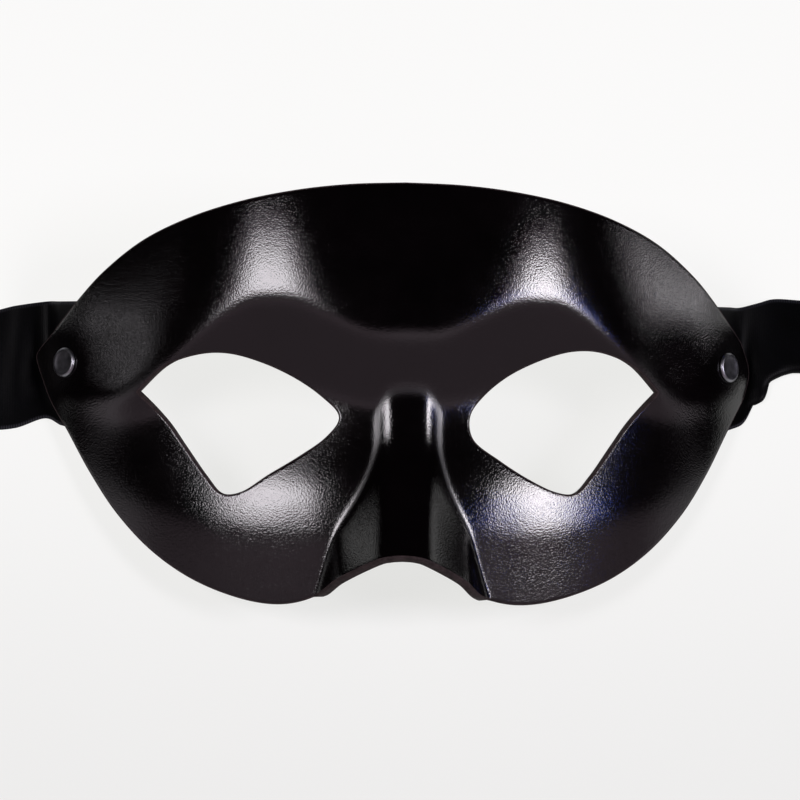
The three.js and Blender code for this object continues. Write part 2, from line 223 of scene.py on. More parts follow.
# Photograph's camera, in the mask's own frame
CAMERA_DISTANCE = 900
CAMERA_TURN = math.radians(3.9)
CAMERA_ROLL = math.radians(-0.43)
CAMERA_SIDE = 1.75
VIEW_WIDTH = 160
VIEW_END = 20000
SENSOR = 36

# Pale table: its reach, its sides, and where its painted light grows from the chin side to the top side
TABLE_REACH = 6000
TABLE_SIDES = 96
PAINTED_LIGHT_START = -100
PAINTED_LIGHT_END = 60

# Colours of each surface, as (noise value, colour), and of the table's painted light from chin to top
GRAIN_STOPS = [(0.35, (0.0009, 0.0006, 0.0007)), (0.7, (0.0018, 0.0011, 0.0014))]
CUT_STOPS = [(0.3, (0.010, 0.007, 0.007)), (0.75, (0.045, 0.031, 0.032))]
FLESH_STOPS = [(0.3, (0.010, 0.008, 0.007)), (0.75, (0.03, 0.024, 0.021))]
SATIN_STOPS = [(0.3, (0.0005, 0.0005, 0.0006)), (0.8, (0.0011, 0.0011, 0.0017))]
GUNMETAL_STOPS = [(0.35, (0.16, 0.16, 0.175)), (0.7, (0.24, 0.24, 0.26))]
TABLE_STOPS = [(0.3, (0.15, 0.15, 0.15)), (0.7, (0.16, 0.16, 0.16))]
# Painted light: the table's own glow, darker on the chin side and brighter towards the top side
PAINTED_LIGHT_STOPS = [(0, (0.70, 0.70, 0.685)), (1, (0.83, 0.83, 0.815))]
STITCH_TINT = (0.028, 0.028, 0.034)
SURROUNDINGS_TINT = (0.9, 0.9, 0.89)
SOFT_TINT = (1, 0.95, 1)
BLUE_TINT = (0.12, 0.2, 1)
CARD_TINT = (1, 0.78, 0.9)

# Soft lights in the mask's own frame: degrees to the side and up, distance, size, radiance, tint
LIGHTS = [
    ("softbox_left", -35, 11.5, 900, (340, 270), 13, SOFT_TINT),
    ("softbox_right", 42, 7, 900, (215, 280), 21, SOFT_TINT),
    ("gleam_inner", 32.5, 3, 890, (40, 130), 9, BLUE_TINT),
    ("gleam_outer", 52.5, 3, 890, (40, 130), 12, BLUE_TINT),
    ("fill_right", 12, -12, 900, (420, 240), 0.14, SOFT_TINT),
    ("fill_temple_left", -84, -6, 900, (400, 220), 0.4, SOFT_TINT),
    ("fill_temple_right", 90, -6, 900, (400, 220), 0.4, SOFT_TINT),
    ("panel_left", -84, 9.5, 900, (78, 114), 1.9, SOFT_TINT),
    ("panel_right", 91, 14.5, 900, (115, 74), 6, SOFT_TINT),
]

# White card below the chin, along the line of sight: where its parts start and end, their radiance
CARD_Y = -110
CARD_WIDTH = 3000
CARD_PARTS = [("card_near", 20, 350, 0.3), ("card_far", 350, 1520, 0.45)]

# Energy of a rectangular light for each unit of radiance and of area
ENERGY_SHARE = 4

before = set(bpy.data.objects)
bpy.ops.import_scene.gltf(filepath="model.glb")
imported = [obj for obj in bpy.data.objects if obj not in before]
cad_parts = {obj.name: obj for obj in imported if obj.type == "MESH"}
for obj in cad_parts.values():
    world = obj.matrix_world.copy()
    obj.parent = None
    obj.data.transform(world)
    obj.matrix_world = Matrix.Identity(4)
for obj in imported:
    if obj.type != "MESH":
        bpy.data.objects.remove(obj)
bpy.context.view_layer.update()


# Smooth versions of max(t, 0), max, min and a step from 0 to 1
def ramp(t, soft):
    return 0.5 * (t + np.sqrt(t * t + soft * soft))


def soft_max(a, b, soft):
    return 0.5 * (a + b + np.sqrt((a - b) ** 2 + soft * soft))


def soft_min(a, b, soft):
    return -soft_max(-a, -b, soft)


def step(t):
    t = np.clip(t, 0, 1)
    return t * t * (3 - 2 * t)


def brow_crest(x):
    rise = BROW_RISE * step((x - RISE_START) / RISE_WIDTH)
    return BROW_MIDDLE + rise - BROW_FALL * step((x - FALL_START) / FALL_WIDTH)


def socket_recess(x, y):
    below = BROW_SLOPE * ramp(brow_crest(x) - y, BROW_EDGE)
    across = ramp(x - SOCKET_X, SOCKET_TURN) / SOCKET_WIDTH
    down = ramp(SOCKET_Y - y, SOCKET_TURN) / SOCKET_HEIGHT
    inside = SOCKET_HEIGHT * (1 - np.hypot(across, down))
    closing = SOCKET_SLOPE * ramp(inside, SOCKET_EDGE)
    return soft_min(soft_min(below, SOCKET_DEPTH, SOCKET_BLEND), closing, SOCKET_BLEND)


def forehead_recess(x, y):
    above = ramp(y - brow_crest(x), FOREHEAD_EDGE)
    return FOREHEAD_SLOPE * above + FOREHEAD_BEND * above * above


def cheek_recess(x, y):
    drop = CREST_DROP * step((DROP_END - x) / DROP_WIDTH)
    crest = CHEEK_CREST - drop + CREST_LIFT * step((x - LIFT_START) / LIFT_WIDTH)
    return CHEEK_SLOPE * ramp(crest - y, CHEEK_EDGE)


def swelling(x, y, place):
    middle_x, middle_y, half_width, half_height, rise = place
    across, up = (x - middle_x) / half_width, (y - middle_y) / half_height
    return rise * np.exp(-(across**2) - up**2)


def nose_height(x, y):
    below_root = NOSE_START * ramp(NOSE_ROOT - y, ROOT_EDGE)
    above_root = ROOT_FALL * ramp(y - NOSE_ROOT, ROOT_EDGE)
    ridge = NOSE_DEPTH + below_root - above_root + NOSE_SLOPE * ramp(NOSE_BEND - y, BEND_EDGE)
    down = np.clip((NOSE_ROOT - y) / (NOSE_ROOT - NOTCH), 0, 1)
    half_width = RIDGE_TOP + (RIDGE_BOTTOM - RIDGE_TOP) * down
    aside = ramp(np.abs(x - RIDGE_OFFSET) - half_width, RIDGE_EDGE)
    leaf = (LEAF_START - y) / LEAF_SPREAD
    in_leaf = ramp(leaf, LEAF_EDGE) - ramp(leaf - aside, LEAF_EDGE)
    fall = FLANK_SLOPE * aside + (LEAF_SLOPE - FLANK_SLOPE) * in_leaf
    return ridge - fall - WING_SLOPE * ramp(aside - WING, WING_EDGE)


def face_height(x, y):
    side = np.hypot(x, MIDDLE_EDGE)
    wrap = np.sqrt(WRAP_RADIUS**2 - side * side) - WRAP_RADIUS
    recess = socket_recess(side, y) + forehead_recess(side, y) + cheek_recess(side, y)
    dents = sum(swelling(x, y, dent) for dent in TEMPLE_DENTS)
    return wrap - recess + swelling(side, y, CHEEK_PAD) + dents


def formed_height(x, y):
    """Height of the outer surface over the face plane, in the mask's own frame."""
    return soft_max(face_height(x, y), nose_height(x, y), CREASE_EDGE)


def crease_share(x, y):
    """How much a point lies in the crease between the nose and the face, from 0 to 1."""
    return np.exp(-(((face_height(x, y) - nose_height(x, y)) / CREASE_WIDTH) ** 2))


def formed_normal(x, y):
    """Unit normals of the outer surface, in the mask's own frame."""
    d = NORMAL_STEP
    slope_x = (formed_height(x + d, y) - formed_height(x - d, y)) / (2 * d)
    slope_y = (formed_height(x, y + d) - formed_height(x, y - d)) / (2 * d)
    normal = np.stack([-slope_x, -slope_y, np.ones_like(slope_x)], -1)
    return normal / np.linalg.norm(normal, axis=-1, keepdims=True)


def formed_point(x, y, depth):
    """Points at a depth behind the outer surface, in the mask's own frame."""
    x, y = np.asarray(x, float), np.asarray(y, float)
    middle = np.exp(-((x / LEAN_WIDTH) ** 2))
    lean = middle * (LEAN_EYES + LEAN_NOTCH * step((LEAN_START - y) / LEAN_REACH))
    surface = np.stack([x - lean, y, formed_height(x, y)], -1)
    return surface - np.asarray(depth)[..., None] * formed_normal(x, y)


FACE_MATRIX = Matrix.Translation((0, FACE_SHIFT, FACE_LIFT)) @ Matrix.Rotation(REST_TILT, 4, "X")


def to_table(points):
    """Points of the mask's own frame, put on the table frame."""
    turn = np.array(FACE_MATRIX.to_3x3())
    return points @ turn.T + np.array([0, FACE_SHIFT, FACE_LIFT])


def metres(matrix):
    """A placement in millimetres, with its position in metres."""
    result = matrix.copy()
    result.translation = matrix.translation * MM
    return result


def spline(points, count):
    """Catmull-Rom spline through points, with count steps of equal parameter."""
    points = np.array(points, float)
    t = np.linspace(0, len(points) - 1, count + 1)
    i = np.minimum(t.astype(int), len(points) - 2)
    w = (t - i)[:, None]
    before, here, there = points[np.maximum(i - 1, 0)], points[i], points[i + 1]
    after = points[np.minimum(i + 2, len(points) - 1)]
    start, end = (there - before) / 2, (after - here) / 2
    return (
        (2 * here - 2 * there + start + end) * w**3
        + (3 * there - 3 * here - 2 * start - end) * w**2
        + start * w
        + here
    )


def even_points(points, count):
    """Points in equal steps along a polyline, without its last point."""
    walked = np.append(0, np.cumsum(np.linalg.norm(np.diff(points, axis=0), axis=1)))
    at = np.linspace(0, walked[-1], count + 1)[:-1]
    return np.stack([np.interp(at, walked, points[:, k]) for k in range(2)], -1)


def length_of(points):
    return np.linalg.norm(np.diff(points, axis=0), axis=1).sum()


def ray_hit(polyline, toward):
    """Where the ray from the eye centre through a point meets a polyline."""
    direction = (toward - EYE_CENTRE) / np.linalg.norm(toward - EYE_CENTRE)
    start = polyline[:-1] - EYE_CENTRE
    edge = np.diff(polyline, axis=0)
    cross = direction[0] * edge[:, 1] - direction[1] * edge[:, 0]
    cross = np.where(np.abs(cross) < LEAST_CROSS, LEAST_CROSS, cross)
    along = (start[:, 0] * edge[:, 1] - start[:, 1] * edge[:, 0]) / cross
    share = (start[:, 0] * direction[1] - start[:, 1] * direction[0]) / cross
    hit = (share >= -HIT_SLACK) & (share <= 1 + HIT_SLACK) & (along > 0)
    return EYE_CENTRE + direction * along[hit].max()


def outer_loop(tip, eye):
    """Outer loop of one half, up the middle and down the outline, and where the outline starts."""
    edge = np.concatenate([
        spline(TOP_EDGE, TOP_STEPS)[:-1],
        spline(tip, TIP_STEPS)[:-1],
        spline([tip[2], *LOWER_EDGE], LOWER_STEPS),
    ])
    corner_at = ray_hit(edge, np.array(eye[0]))
    split = int(np.argmax((edge[:, 0] > RIVET_X) & (edge[:, 1] < corner_at[1])))
    sections = [
        np.array([edge[-1], edge[0]]),
        np.vstack([edge[:split], corner_at]),
        np.vstack([corner_at, edge[split:]]),
    ]
    lengths = np.array([length_of(section) for section in sections])
    counts = np.round(STEPS_AROUND * lengths / lengths.sum()).astype(int)
    loop = np.concatenate([even_points(section, n) for section, n in zip(sections, counts)])
    return loop, counts[0]


def left_normals(loop):
    """Unit vectors to the left of the way round a closed loop."""
    along = np.roll(loop, -1, 0) - np.roll(loop, 1, 0)
    normal = np.stack([-along[:, 1], along[:, 0]], -1)
    return normal / np.linalg.norm(normal, axis=1, keepdims=True)


def edge_profile():
    """Inset and depth of the rows round a cut edge, from the grain side to the flesh side."""
    angles = np.linspace(0, math.pi / 2, STEPS_ROUND + 1)
    inset = CUT_RADIUS * (1 - np.sin(angles))
    depth = CUT_RADIUS * (1 - np.cos(angles))
    return [
        *zip(inset[1:], depth[1:]),
        *zip(inset[::-1][:-1], LEATHER - depth[::-1][:-1]),
    ]


def section_rows(outer, inner, inward, outward, on_middle):
    """Rows of flat points, and their depths, once round the sheet from the eye hole's edge."""
    rim = np.where(on_middle[:, None], outer, outer + CUT_RADIUS * inward)
    hem = inner + CUT_RADIUS * outward
    profile = edge_profile()
    rows, depths = [], []
    for k in range(STEPS_ACROSS + 1):
        rows.append(hem + (rim - hem) * (k / STEPS_ACROSS))
        depths.append(0)
    for inset, depth in profile:
        rows.append(np.where(on_middle[:, None], outer, outer + inset * inward))
        depths.append(depth)
    for k in range(STEPS_ACROSS, -1, -1):
        rows.append(hem + (rim - hem) * (k / STEPS_ACROSS))
        depths.append(LEATHER)
    for inset, depth in profile[::-1]:
        rows.append(inner + inset * outward)
        depths.append(depth)
    return np.stack(rows, 1), np.array(depths, float)


def leather_faces(side, around, across, middle):
    """Faces and material numbers of one half, left open along the middle line."""
    back = across // 2
    kinds = np.full(across, CUT_EDGE)
    kinds[:STEPS_ACROSS] = GRAIN_SIDE
    kinds[back:back + STEPS_ACROSS] = FLESH_SIDE
    outer_edge = range(STEPS_ACROSS, back)
    faces, numbers = [], []
    for i in range(around):
        j = (i + 1) % around
        for k in range(across):
            if i < middle and k in outer_edge:
                continue
            n = (k + 1) % across
            quad = (i * across + k, i * across + n, j * across + n, j * across + k)
            faces.append(quad if side < 0 else quad[::-1])
            numbers.append(kinds[k])
    return faces, numbers


def leather_half(side, tip, eye_hole):
    """Points, faces, material numbers and crease shares of one half: side -1 is left, 1 is right."""
    outer, middle = outer_loop(tip, eye_hole)
    eye = spline(eye_hole, EYE_STEPS)
    inner = np.array([ray_hit(eye, point) for point in outer])
    inward = -left_normals(outer)
    inward[0] = (0, 1)
    inward[middle] = (0, -1)
    outward = left_normals(inner)
    corner = int(np.argmin(np.linalg.norm(inner - eye[0], axis=1)))
    outward[corner] = (1, 0)
    on_middle = np.zeros(len(outer), bool)
    on_middle[1:middle] = True
    flat, depths = section_rows(outer, inner, inward, outward, on_middle)
    x, y = side * flat[..., 0], flat[..., 1]
    points = formed_point(x, y, np.broadcast_to(depths, x.shape))
    faces, numbers = leather_faces(side, *x.shape, middle)
    return points.reshape(-1, 3), faces, numbers, crease_share(x, y).ravel()


def make_object(name, points, faces, materials, numbers=None):
    """Smooth-shaded mesh object from points in millimetres on the table frame."""
    mesh = bpy.data.meshes.new(name)
    mesh.from_pydata((np.asarray(points) * MM).tolist(), [], faces)
    for material in materials:
        mesh.materials.append(material)
    if numbers is not None:
        mesh.polygons.foreach_set("material_index", np.array(numbers, np.int32))
    mesh.polygons.foreach_set("use_smooth", np.ones(len(mesh.polygons), bool))
    mesh.update()
    piece = bpy.data.objects.new(name, mesh)
    bpy.context.scene.collection.objects.link(piece)
    return piece


def weld(piece):
    """Joins the points that lie on each other and drops those that no face uses."""
    work = bmesh.new()
    work.from_mesh(piece.data)
    bmesh.ops.delete(work, geom=[v for v in work.verts if not v.link_faces], context="VERTS")
    bmesh.ops.remove_doubles(work, verts=work.verts, dist=WELD_DISTANCE)
    work.to_mesh(piece.data)
    work.free()


def make_leather(materials):
    left_points, left_faces, left_numbers, left_crease = leather_half(-1, LEFT_TIP, LEFT_EYE)
    right_points, right_faces, right_numbers, right_crease = leather_half(1, RIGHT_TIP, RIGHT_EYE)
    offset = len(left_points)
    faces = left_faces + [tuple(v + offset for v in face) for face in right_faces]
    points = to_table(np.concatenate([left_points, right_points]))
    piece = make_object("leather_shell", points, faces, materials, left_numbers + right_numbers)
    crease = piece.data.attributes.new(CREASE_LAYER, "FLOAT", "POINT")
    crease.data.foreach_set("value", np.concatenate([left_crease, right_crease]))
    weld(piece)
    return piece


def folded_section(share, fold, radius):
    """Section of a ribbon whose lower strip is folded under, at shares of the width."""
    from_crease = share * RIBBON_WIDTH - fold
    quarter = math.pi * radius / 2
    angle = np.clip(from_crease, -quarter, quarter) / max(radius, LEAST_RADIUS)
    off_bend = np.abs(from_crease) - quarter
    across = np.where(off_bend >= 0, off_bend, -radius * np.cos(angle))
    up = np.where(from_crease >= quarter, 2 * radius, radius + radius * np.sin(angle))
    return across, np.where(from_crease <= -quarter, 0, up)


def free_row(side, shares, station):
    """One row of points across the ribbon, its lowest point on the table."""
    x, middle, degrees, fold, radius = station
    angle = math.radians(degrees)
    across, up = folded_section(shares, fold, radius)
    across = across - (across[-1] + across.min()) / 2
    y = middle + FACE_SHIFT + across * math.cos(angle) - up * math.sin(angle)
    z = across * math.sin(angle) + up * math.cos(angle)
    return np.stack([np.full_like(y, side * x), y, z - z.min() + RIBBON / 2], -1)


def held_row(side, shares, x):
    """One row of points under the leather, kept off the table."""
    y = RIBBON_MIDDLE + (shares - 0.5) * RIBBON_WIDTH
    depth = np.full_like(y, LEATHER + HELD_GAP + RIBBON / 2)
    row = to_table(formed_point(np.full_like(y, side * x), y, depth))
    row[:, 2] = soft_max(row[:, 2], RIBBON / 2, HELD_EDGE)
    return row


def smooth_rows(stations, steps):
    """Centripetal Catmull-Rom rows through station rows."""
    stations = np.array(stations)
    first = 2 * stations[0] - stations[1]
    last = 2 * stations[-1] - stations[-2]
    padded = np.concatenate([[first], stations, [last]])
    rows = []
    for t in np.linspace(0, len(stations) - 1, steps + 1):
        i = min(int(t), len(stations) - 2)
        w = t - i
        a, b, c, d = padded[i:i + 4]
        ab, bc, cd = (
            np.maximum(np.sqrt(np.linalg.norm(q - p, axis=1, keepdims=True)), LEAST_STEP)
            for p, q in ((a, b), (b, c), (c, d))
        )
        start = ((b - a) / ab - (c - a) / (ab + bc) + (c - b) / bc) * bc
        end = ((c - b) / bc - (d - b) / (bc + cd) + (d - c) / cd) * bc
        cubed = 2 * b - 2 * c + start + end
        squared = 3 * c - 3 * b - 2 * start - end
        rows.append(cubed * w**3 + squared * w**2 + start * w + b)
    return np.array(rows)


def roll_rows(side, shares, start_y):
    """Rows of the ribbon wound up about an upright axis, from the outer turn inwards."""
    radius = ROLL_RADIUS - RIBBON / 2
    count = int(ROLL_TURNS * 360 / ROLL_STEP_DEGREES)
    rows = []
    for n in range(1, count + 1):
        turned = math.radians(n * ROLL_STEP_DEGREES)
        reach = radius - ROLL_PITCH * turned / (2 * math.pi)
        x = side * (ROLL_X + reach * math.sin(turned))
        y = start_y - radius + reach * math.cos(turned)
        rows.append(np.stack([
            np.full_like(shares, x), np.full_like(shares, y), RIBBON / 2 + shares * RIBBON_WIDTH,
        ], -1))
    return rows


def strip_mesh(rows, side, thickness):
    """Closed strip around its middle surface: points, faces, cloth coordinates and length."""
    along = np.gradient(rows, axis=0)
    across = np.gradient(rows, axis=1)
    normal = np.cross(along, across) * side
    normal /= np.linalg.norm(normal, axis=-1, keepdims=True)
    layers = [rows + normal * thickness / 2, rows - normal * thickness / 2]
    count, columns = rows.shape[:2]
    lengths = np.linalg.norm(np.diff(rows.mean(1), axis=0), axis=1)
    u = np.broadcast_to(np.append(0, np.cumsum(lengths))[:, None], (count, columns))
    v = np.broadcast_to(np.linspace(0, RIBBON_WIDTH, columns)[None, :], (count, columns))
    index = np.arange(count * columns).reshape(count, columns)
    faces = []
    under = count * columns
    for i in range(count - 1):
        for c in range(columns - 1):
            a, b, d, e = index[i, c], index[i + 1, c], index[i + 1, c + 1], index[i, c + 1]
            faces.append((a, b, d, e))
            faces.append((under + a, under + e, under + d, under + b))
        first, second = index[i, 0], index[i + 1, 0]
        faces.append((first, under + first, under + second, second))
        first, second = index[i, -1], index[i + 1, -1]
        faces.append((first, second, under + second, under + first))
    for c in range(columns - 1):
        first, second = index[0, c], index[0, c + 1]
        faces.append((first, second, under + second, under + first))
        first, second = index[-1, c], index[-1, c + 1]
        faces.append((first, under + first, under + second, second))
    if side < 0:
        faces = [face[::-1] for face in faces]
    points = np.concatenate([layer.reshape(-1, 3) for layer in layers])
    cloth = np.stack([np.tile(u.ravel(), 2), np.tile(v.ravel(), 2)], -1)
    return points, faces, cloth, lengths.sum()


def make_ribbon(name, side, run, material):
    """One ribbon tie, and its length in metres."""
    shares = np.linspace(0, 1, RIBBON_COLUMNS + 1)
    stations = [held_row(side, shares, x) for x in HELD_STATIONS]
    stations += [free_row(side, shares, station) for station in run]
    rows = smooth_rows(stations, RIBBON_STEPS)
    rows[..., 2] = np.maximum(rows[..., 2], RIBBON / 2)
    rolled = roll_rows(side, shares, run[-1][1] + FACE_SHIFT)
    points, faces, cloth, length = strip_mesh(np.concatenate([rows, rolled]), side, CLOTH)
    piece = make_object(name, points, faces, [material])
    layer = piece.data.uv_layers.new(name=CLOTH_LAYER)
    corners = np.zeros(len(piece.data.loops), np.int32)
    piece.data.loops.foreach_get("vertex_index", corners)
    layer.data.foreach_set("uv", (cloth[corners] * MM).ravel())
    return piece, length * MM


def rivet_matrix(side):
    """Turn and place that put local +Z along the leather's outward normal at a rivet."""
    x, y = np.array([side * RIVET_X]), np.array([RIVET_Y])
    centre = Vector(formed_point(x, y, np.zeros(1))[0])
    turn = Vector((0, 0, 1)).rotation_difference(Vector(formed_normal(x, y)[0]))
    return FACE_MATRIX @ Matrix.Translation(centre) @ turn.to_matrix().to_4x4()


def rivet_profile():
    """Section of a rivet from its back cap to its front cap, as (radius, height)."""
    back_top = -(LEATHER + RIBBON + 3 * GAP)
    back = back_top - BACK_SECTION[-1][1]
    return [
        *((radius, back + height) for radius, height in BACK_SECTION),
        (SHANK_RADIUS, back_top),
        (SHANK_RADIUS, FRONT_SECTION[0][1]),
        *FRONT_SECTION,
    ]


def make_rivet(name, side, material):
    profile = rivet_profile()
    points, faces = [], []
    angles = np.linspace(0, 2 * math.pi, RIVET_STEPS, endpoint=False)
    for radius, height in profile:
        points += [(radius * math.cos(a), radius * math.sin(a), height) for a in angles]
    for k in range(len(profile) - 1):
        low, high = k * RIVET_STEPS, (k + 1) * RIVET_STEPS
        for i in range(RIVET_STEPS):
            j = (i + 1) % RIVET_STEPS
            faces.append((low + i, low + j, high + j, high + i))
    matrix = rivet_matrix(side)
    placed = [tuple(matrix @ Vector(point)) for point in points]
    piece = make_object(name, placed, faces, [material])
    weld(piece)
    return piece


def new_material(name):
    """New material, with its nodes, links and main shader."""
    material = bpy.data.materials.new(name)
    material.use_nodes = True
    nodes = material.node_tree.nodes
    return material, nodes, material.node_tree.links, nodes["Principled BSDF"]


def add_node(nodes, kind, **values):
    """New node with its inputs set by name."""
    node = nodes.new(kind)
    for key, value in values.items():
        node.inputs[key.replace("_", " ")].default_value = value
    return node


def add_maths(nodes, operation, second=0):
    """New maths node, with its second value set."""
    node = nodes.new("ShaderNodeMath")
    node.operation = operation
    node.inputs[1].default_value = second
    return node


def colour_ramp(nodes, stops):
    """New colour ramp through stops of position and colour."""
    node = nodes.new("ShaderNodeValToRGB")
    elements = node.color_ramp.elements
    while len(elements) < len(stops):
        elements.new(0.5)
    for element, (position, colour) in zip(elements, stops):
        element.position = position
        element.color = (*colour, 1)
    return node


def leather_material():
    """Glossy black grain side with a fine pebble, a little duller in the crease beside the nose."""
    material, nodes, links, shader = new_material("leather_grain_side")
    coords = nodes.new("ShaderNodeTexCoord")
    tone = add_node(nodes, "ShaderNodeTexNoise", Scale=60, Detail=5)
    tint = colour_ramp(nodes, GRAIN_STOPS)
    rough = add_node(nodes, "ShaderNodeTexNoise", Scale=240, Detail=6)
    rough_range = add_node(nodes, "ShaderNodeMapRange", To_Min=0.09, To_Max=0.14)
    grain = add_node(nodes, "ShaderNodeTexNoise", Scale=3000, Detail=2, Roughness=0.5)
    folds = add_node(nodes, "ShaderNodeTexNoise", Scale=420, Detail=3)
    fine = add_node(nodes, "ShaderNodeBump", Strength=0.38, Distance=0.0001)
    coarse = add_node(nodes, "ShaderNodeBump", Strength=0.02, Distance=0.0003)
    crease = nodes.new("ShaderNodeAttribute")
    crease.attribute_name = CREASE_LAYER
    dull = add_node(nodes, "ShaderNodeMapRange", To_Min=0, To_Max=0.25)
    roughness = add_maths(nodes, "ADD")
    for texture in (tone, rough, grain, folds):
        links.new(coords.outputs["Object"], texture.inputs["Vector"])
    links.new(tone.outputs["Fac"], tint.inputs["Fac"])
    links.new(tint.outputs["Color"], shader.inputs["Base Color"])
    links.new(rough.outputs["Fac"], rough_range.inputs["Value"])
    links.new(crease.outputs["Fac"], dull.inputs["Value"])
    links.new(rough_range.outputs["Result"], roughness.inputs[0])
    links.new(dull.outputs["Result"], roughness.inputs[1])
    links.new(roughness.outputs["Value"], shader.inputs["Roughness"])
    links.new(grain.outputs["Fac"], fine.inputs["Height"])
    links.new(folds.outputs["Fac"], coarse.inputs["Height"])
    links.new(coarse.outputs["Normal"], fine.inputs["Normal"])
    links.new(fine.outputs["Normal"], shader.inputs["Normal"])
    shader.inputs["IOR"].default_value = 1.52
    return material


def flesh_material(name, stops, roughness):
    """Napped leather, for the flesh side and the cut edges."""
    material, nodes, links, shader = new_material(name)
    coords = nodes.new("ShaderNodeTexCoord")
    nap = add_node(nodes, "ShaderNodeTexNoise", Scale=900, Detail=6, Roughness=0.7)
    tint = colour_ramp(nodes, stops)
    bump = add_node(nodes, "ShaderNodeBump", Strength=0.6, Distance=0.0002)
    links.new(coords.outputs["Object"], nap.inputs["Vector"])
    links.new(nap.outputs["Fac"], tint.inputs["Fac"])
    links.new(tint.outputs["Color"], shader.inputs["Base Color"])
    links.new(nap.outputs["Fac"], bump.inputs["Height"])
    links.new(bump.outputs["Normal"], shader.inputs["Normal"])
    shader.inputs["Roughness"].default_value = roughness
    shader.inputs["Specular IOR Level"].default_value = 0.08
    return material


def add_selvedge(nodes, links, cloth, weft, ground):
    """Colour of the ribbon, with stitches that lighten its ground along both edges."""
    half_width = RIBBON_WIDTH * MM / 2
    outside, inside = (half_width - inset * MM for inset in SELVEDGE)
    split = nodes.new("ShaderNodeSeparateXYZ")
    off_middle = add_maths(nodes, "SUBTRACT", half_width)
    from_middle = add_maths(nodes, "ABSOLUTE")
    edge = add_node(nodes, "ShaderNodeMapRange", From_Min=inside, From_Max=outside)
    stitch = add_maths(nodes, "MULTIPLY")
    stitched = add_node(nodes, "ShaderNodeMixRGB", Color2=(*STITCH_TINT, 1))
    links.new(cloth.outputs["UV"], split.inputs["Vector"])
    links.new(split.outputs["Y"], off_middle.inputs[0])
    links.new(off_middle.outputs["Value"], from_middle.inputs[0])
    links.new(from_middle.outputs["Value"], edge.inputs["Value"])
    links.new(edge.outputs["Result"], stitch.inputs[0])
    links.new(weft.outputs["Fac"], stitch.inputs[1])
    links.new(stitch.outputs["Value"], stitched.inputs["Fac"])
    links.new(ground.outputs["Color"], stitched.inputs["Color1"])
    return stitched.outputs["Color"]


def ribbon_material():
    """Black satin ribbon: fine warp lines along it, and a lighter stitched selvedge."""
    material, nodes, links, shader = new_material("satin_ribbon")
    cloth = nodes.new("ShaderNodeUVMap")
    cloth.uv_map = CLOTH_LAYER
    warp = add_node(nodes, "ShaderNodeTexWave", Scale=1000)
    warp.bands_direction = "Y"
    weft = add_node(nodes, "ShaderNodeTexWave", Scale=600)
    weft.bands_direction = "X"
    weave = add_maths(nodes, "MULTIPLY")
    tone = add_node(nodes, "ShaderNodeTexNoise", Scale=120, Detail=4)
    tint = colour_ramp(nodes, SATIN_STOPS)
    bump = add_node(nodes, "ShaderNodeBump", Strength=0.35, Distance=0.00005)
    for texture in (warp, weft, tone):
        links.new(cloth.outputs["UV"], texture.inputs["Vector"])
    links.new(warp.outputs["Fac"], weave.inputs[0])
    links.new(weft.outputs["Fac"], weave.inputs[1])
    links.new(weave.outputs["Value"], bump.inputs["Height"])
    links.new(tone.outputs["Fac"], tint.inputs["Fac"])
    links.new(add_selvedge(nodes, links, cloth, weft, tint), shader.inputs["Base Color"])
    links.new(bump.outputs["Normal"], shader.inputs["Normal"])
    shader.inputs["Roughness"].default_value = 0.45
    shader.inputs["Specular IOR Level"].default_value = 0.06
    return material


def rivet_material():
    """Dark worn metal."""
    material, nodes, links, shader = new_material("gunmetal")
    coords = nodes.new("ShaderNodeTexCoord")
    wear = add_node(nodes, "ShaderNodeTexNoise", Scale=700, Detail=5)
    tint = colour_ramp(nodes, GUNMETAL_STOPS)
    rough = add_node(nodes, "ShaderNodeMapRange", To_Min=0.28, To_Max=0.42)
    bump = add_node(nodes, "ShaderNodeBump", Strength=0.1, Distance=0.0001)
    links.new(coords.outputs["Object"], wear.inputs["Vector"])
    links.new(wear.outputs["Fac"], tint.inputs["Fac"])
    links.new(tint.outputs["Color"], shader.inputs["Base Color"])
    links.new(wear.outputs["Fac"], rough.inputs["Value"])
    links.new(rough.outputs["Result"], shader.inputs["Roughness"])
    links.new(wear.outputs["Fac"], bump.inputs["Height"])
    links.new(bump.outputs["Normal"], shader.inputs["Normal"])
    shader.inputs["Metallic"].default_value = 1.0
    return material


def table_material():
    """Pale table that glows with painted light, less bright on the chin side."""
    material, nodes, links, shader = new_material("pale_table")
    coords = nodes.new("ShaderNodeTexCoord")
    mottle = add_node(nodes, "ShaderNodeTexNoise", Scale=6, Detail=4)
    tint = colour_ramp(nodes, TABLE_STOPS)
    split = nodes.new("ShaderNodeSeparateXYZ")
    across = add_node(nodes, "ShaderNodeMapRange", From_Min=PAINTED_LIGHT_START * MM, From_Max=PAINTED_LIGHT_END * MM)
    across.interpolation_type = "SMOOTHSTEP"
    painted_light = colour_ramp(nodes, PAINTED_LIGHT_STOPS)
    links.new(coords.outputs["Object"], mottle.inputs["Vector"])
    links.new(coords.outputs["Object"], split.inputs["Vector"])
    links.new(split.outputs["Y"], across.inputs["Value"])
    links.new(across.outputs["Result"], painted_light.inputs["Fac"])
    links.new(mottle.outputs["Fac"], tint.inputs["Fac"])
    links.new(tint.outputs["Color"], shader.inputs["Base Color"])
    # Painted light: the table glows in this emission colour, darker on the chin side
    links.new(painted_light.outputs["Color"], shader.inputs["Emission Color"])
    shader.inputs["Roughness"].default_value = 0.9
    shader.inputs["Specular IOR Level"].default_value = 0
    shader.inputs["Emission Strength"].default_value = 1
    return material


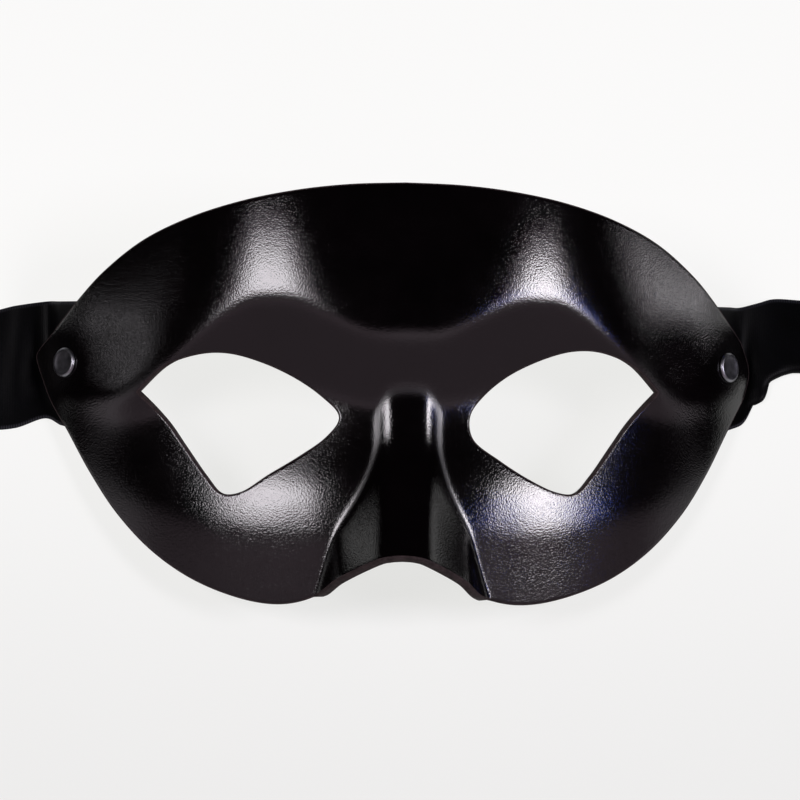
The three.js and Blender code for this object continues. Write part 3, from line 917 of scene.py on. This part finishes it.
def add_light(name, size, radiance, tint, placement):
    """Rectangular light that no camera sees, with the radiance that a reflection of it shows."""
    light = bpy.data.lights.new(name, "AREA")
    light.shape = "RECTANGLE"
    light.size, light.size_y = (length * MM for length in size)
    light.energy = ENERGY_SHARE * radiance * light.size * light.size_y
    light.color = tint
    lamp = bpy.data.objects.new(name, light)
    bpy.context.scene.collection.objects.link(lamp)
    lamp.matrix_world = metres(FACE_MATRIX @ placement)
    lamp.visible_camera = False
    return lamp


def make_light(name, azimuth, elevation, distance, size, radiance, tint):
    """Soft light that faces the mask."""
    across, up = math.radians(azimuth), math.radians(elevation)
    level = math.cos(up)
    direction = Vector((math.sin(across) * level, math.sin(up), math.cos(across) * level))
    side = Vector((0, 1, 0)).cross(direction).normalized()
    turn = Matrix((side, direction.cross(side), direction)).transposed().to_4x4()
    add_light(name, size, radiance, tint, Matrix.Translation(direction * distance) @ turn)


def make_card(name, start, end, radiance):
    """Part of a card that only reflections show, standing along the camera's line of sight."""
    middle = Matrix.Translation((0, CARD_Y, (start + end) / 2))
    facing_up = Matrix.Rotation(math.radians(90), 4, "X")
    lamp = add_light(name, (CARD_WIDTH, end - start), radiance, CARD_TINT, middle @ facing_up)
    lamp.visible_diffuse = False


def make_camera():
    """Photograph's camera, far off and with a narrow view."""
    rolled = Matrix.Rotation(CAMERA_ROLL, 3, "Z") @ Matrix.Rotation(CAMERA_TURN, 3, "Y")
    turn = rolled.transposed()
    place = turn @ Vector((-CAMERA_SIDE, 0, CAMERA_DISTANCE))
    camera = bpy.data.objects.new("camera", bpy.data.cameras.new("camera"))
    bpy.context.scene.collection.objects.link(camera)
    camera.matrix_world = metres(FACE_MATRIX @ Matrix.Translation(place) @ turn.to_4x4())
    camera.data.sensor_width = SENSOR
    camera.data.lens = SENSOR * CAMERA_DISTANCE / VIEW_WIDTH
    camera.data.clip_end = VIEW_END * MM
    bpy.context.scene.camera = camera


def make_table():
    """Round table, which isn't part of the object."""
    angles = np.linspace(0, 2 * math.pi, TABLE_SIDES, endpoint=False)
    points = [(TABLE_REACH * math.cos(a), TABLE_REACH * math.sin(a), 0) for a in angles]
    table = make_object("table", points, [tuple(range(TABLE_SIDES))], [table_material()])


def make_world():
    """Pale surroundings that only the camera sees."""
    world = bpy.data.worlds.new("surroundings")
    bpy.context.scene.world = world
    world.use_nodes = True
    background = world.node_tree.nodes["Background"]
    background.inputs["Color"].default_value = (*SURROUNDINGS_TINT, 1)
    world.cycles_visibility.diffuse = False
    world.cycles_visibility.glossy = False


def build():
    """The mask's five pieces, each in the place of its solid."""
    leather = make_leather([
        leather_material(),
        flesh_material("leather_cut_edge", CUT_STOPS, 0.75),
        flesh_material("leather_flesh_side", FLESH_STOPS, 0.85),
    ])
    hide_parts("leather_mask")
    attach(leather, "root")
    satin = ribbon_material()
    gunmetal = rivet_material()
    for name, side, run in (("left", -1, LEFT_RUN), ("right", 1, RIGHT_RUN)):
        ribbon, length = make_ribbon(f"ribbon_tie_{name}", side, run, satin)
        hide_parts(f"ribbon_{name}")
        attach(ribbon, "root")
        rivet = make_rivet(f"rivet_cap_{name}", side, gunmetal)
        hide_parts(f"rivet_{name}")
        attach(rivet, "root")


make_world()
make_table()
make_camera()
for light in LIGHTS:
    make_light(*light)
for part in CARD_PARTS:
    make_card(*part)
build()
bpy.context.scene.view_settings.view_transform = "Standard"
